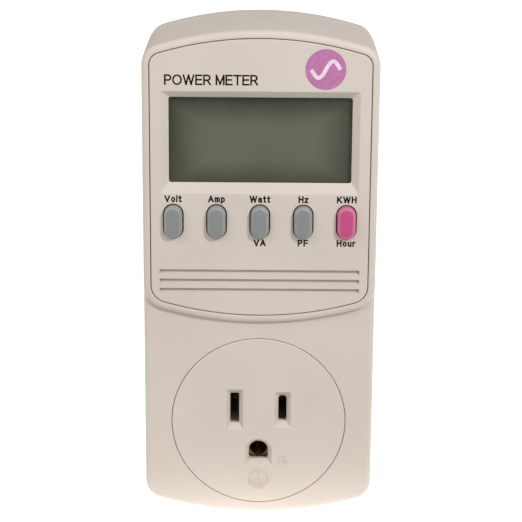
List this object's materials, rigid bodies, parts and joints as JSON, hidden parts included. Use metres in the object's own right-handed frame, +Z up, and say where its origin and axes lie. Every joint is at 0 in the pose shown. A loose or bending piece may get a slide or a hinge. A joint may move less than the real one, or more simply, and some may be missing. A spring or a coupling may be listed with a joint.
{
  "type": "plug-in power meter",
  "caption": "Plug-in energy meter with a display, push buttons and a pass-through grounded outlet, which plugs straight into a wall outlet and hangs from it.",
  "frame": {"origin": "on the flat rear face, midway between the two plug blades", "axes": "+Y out of the rear face towards the wall, +Z up, +X to the right as seen from the front; the display and socket face -Y"},
  "size_m": [0.061, 0.0639, 0.131],
  "materials": {
    "housing": "fine moulded texture, satin",
    "panel": "fine moulded texture, satin",
    "screw_steel": "zinc plated",
    "label": "printed film, satin",
    "lens": "clear, polished",
    "lcd": "grey-green polariser",
    "reflector": "brushed film",
    "black_plastic": "satin",
    "strip_rubber": "matte",
    "board": "solder resist",
    "chip": "matte",
    "can_metal": "satin",
    "ribbon": "satin",
    "ivory_plastic": "satin",
    "contact_brass": "stamped, satin",
    "blue_plastic": "semi gloss",
    "varistor_coat": "dipped, semi gloss",
    "can_sleeve": "shrink sleeve",
    "resistor_coat": "lacquer",
    "shunt_metal": "bare alloy",
    "black_lead": "PVC insulation",
    "white_lead": "PVC insulation",
    "blade_brass": "nickel-washed brass, satin",
    "grey_button": "satin",
    "energy_button": "satin"
  },
  "bodies": {
    "meter": {"front_housing": "housing", "rear_cover": "housing", "front_panel": "panel", "housing_screws": "screw_steel", "rating_label": "label", "display_lens": "lens", "lcd_cell": "lcd", "lcd_reflector": "reflector", "lcd_frame": "black_plastic", "upper_contact_strip": "strip_rubber", "lower_contact_strip": "strip_rubber", "display_board": "board", "display_board_screws": "screw_steel", "metering_chip": "chip", "amplifier_chip": "chip", "crystal": "can_metal", "display_header": "black_plastic", "ribbon_cable": "ribbon", "power_header": "black_plastic", "volt_switch": "black_plastic", "amp_switch": "black_plastic", "watt_switch": "black_plastic", "hertz_switch": "black_plastic", "energy_switch": "black_plastic", "socket_insert": "panel", "contact_carrier": "ivory_plastic", "carrier_screws": "screw_steel", "line_contact": "contact_brass", "neutral_contact": "contact_brass", "ground_contact": "contact_brass", "ground_bar": "contact_brass", "power_board": "board", "power_board_screws": "screw_steel", "film_capacitor": "blue_plastic", "varistor": "varistor_coat", "smoothing_capacitor": "can_sleeve", "output_capacitor": "can_sleeve", "dropper_resistor": "resistor_coat", "bridge_rectifier": "chip", "regulator": "chip", "current_shunt": "shunt_metal", "line_lead": "black_lead", "neutral_lead": "white_lead", "line_blade": "blade_brass", "neutral_blade": "blade_brass", "ground_pin": "blade_brass", "prong_clamp": "ivory_plastic", "clamp_screws": "screw_steel"},
    "volt_button": {"volt_key": "grey_button", "volt_stem": "ivory_plastic"},
    "amp_button": {"amp_key": "grey_button", "amp_stem": "ivory_plastic"},
    "watt_button": {"watt_key": "grey_button", "watt_stem": "ivory_plastic"},
    "hertz_button": {"hertz_key": "grey_button", "hertz_stem": "ivory_plastic"},
    "energy_button": {"energy_key": "energy_button", "energy_stem": "ivory_plastic"}
  },
  "joints": [
    {"name": "volt_press", "type": "slide", "parent": "meter", "child": "volt_button", "axis": [0, 1, 0], "range_m": [0, 0.0006], "stiffness_N_per_m": 1500, "springref_m": -0.0003},
    {"name": "amp_press", "type": "slide", "parent": "meter", "child": "amp_button", "axis": [0, 1, 0], "range_m": [0, 0.0006], "stiffness_N_per_m": 1500, "springref_m": -0.0003},
    {"name": "watt_press", "type": "slide", "parent": "meter", "child": "watt_button", "axis": [0, 1, 0], "range_m": [0, 0.0006], "stiffness_N_per_m": 1500, "springref_m": -0.0003},
    {"name": "hertz_press", "type": "slide", "parent": "meter", "child": "hertz_button", "axis": [0, 1, 0], "range_m": [0, 0.0006], "stiffness_N_per_m": 1500, "springref_m": -0.0003},
    {"name": "energy_press", "type": "slide", "parent": "meter", "child": "energy_button", "axis": [0, 1, 0], "range_m": [0, 0.0006], "stiffness_N_per_m": 1500, "springref_m": -0.0003}
  ]
}
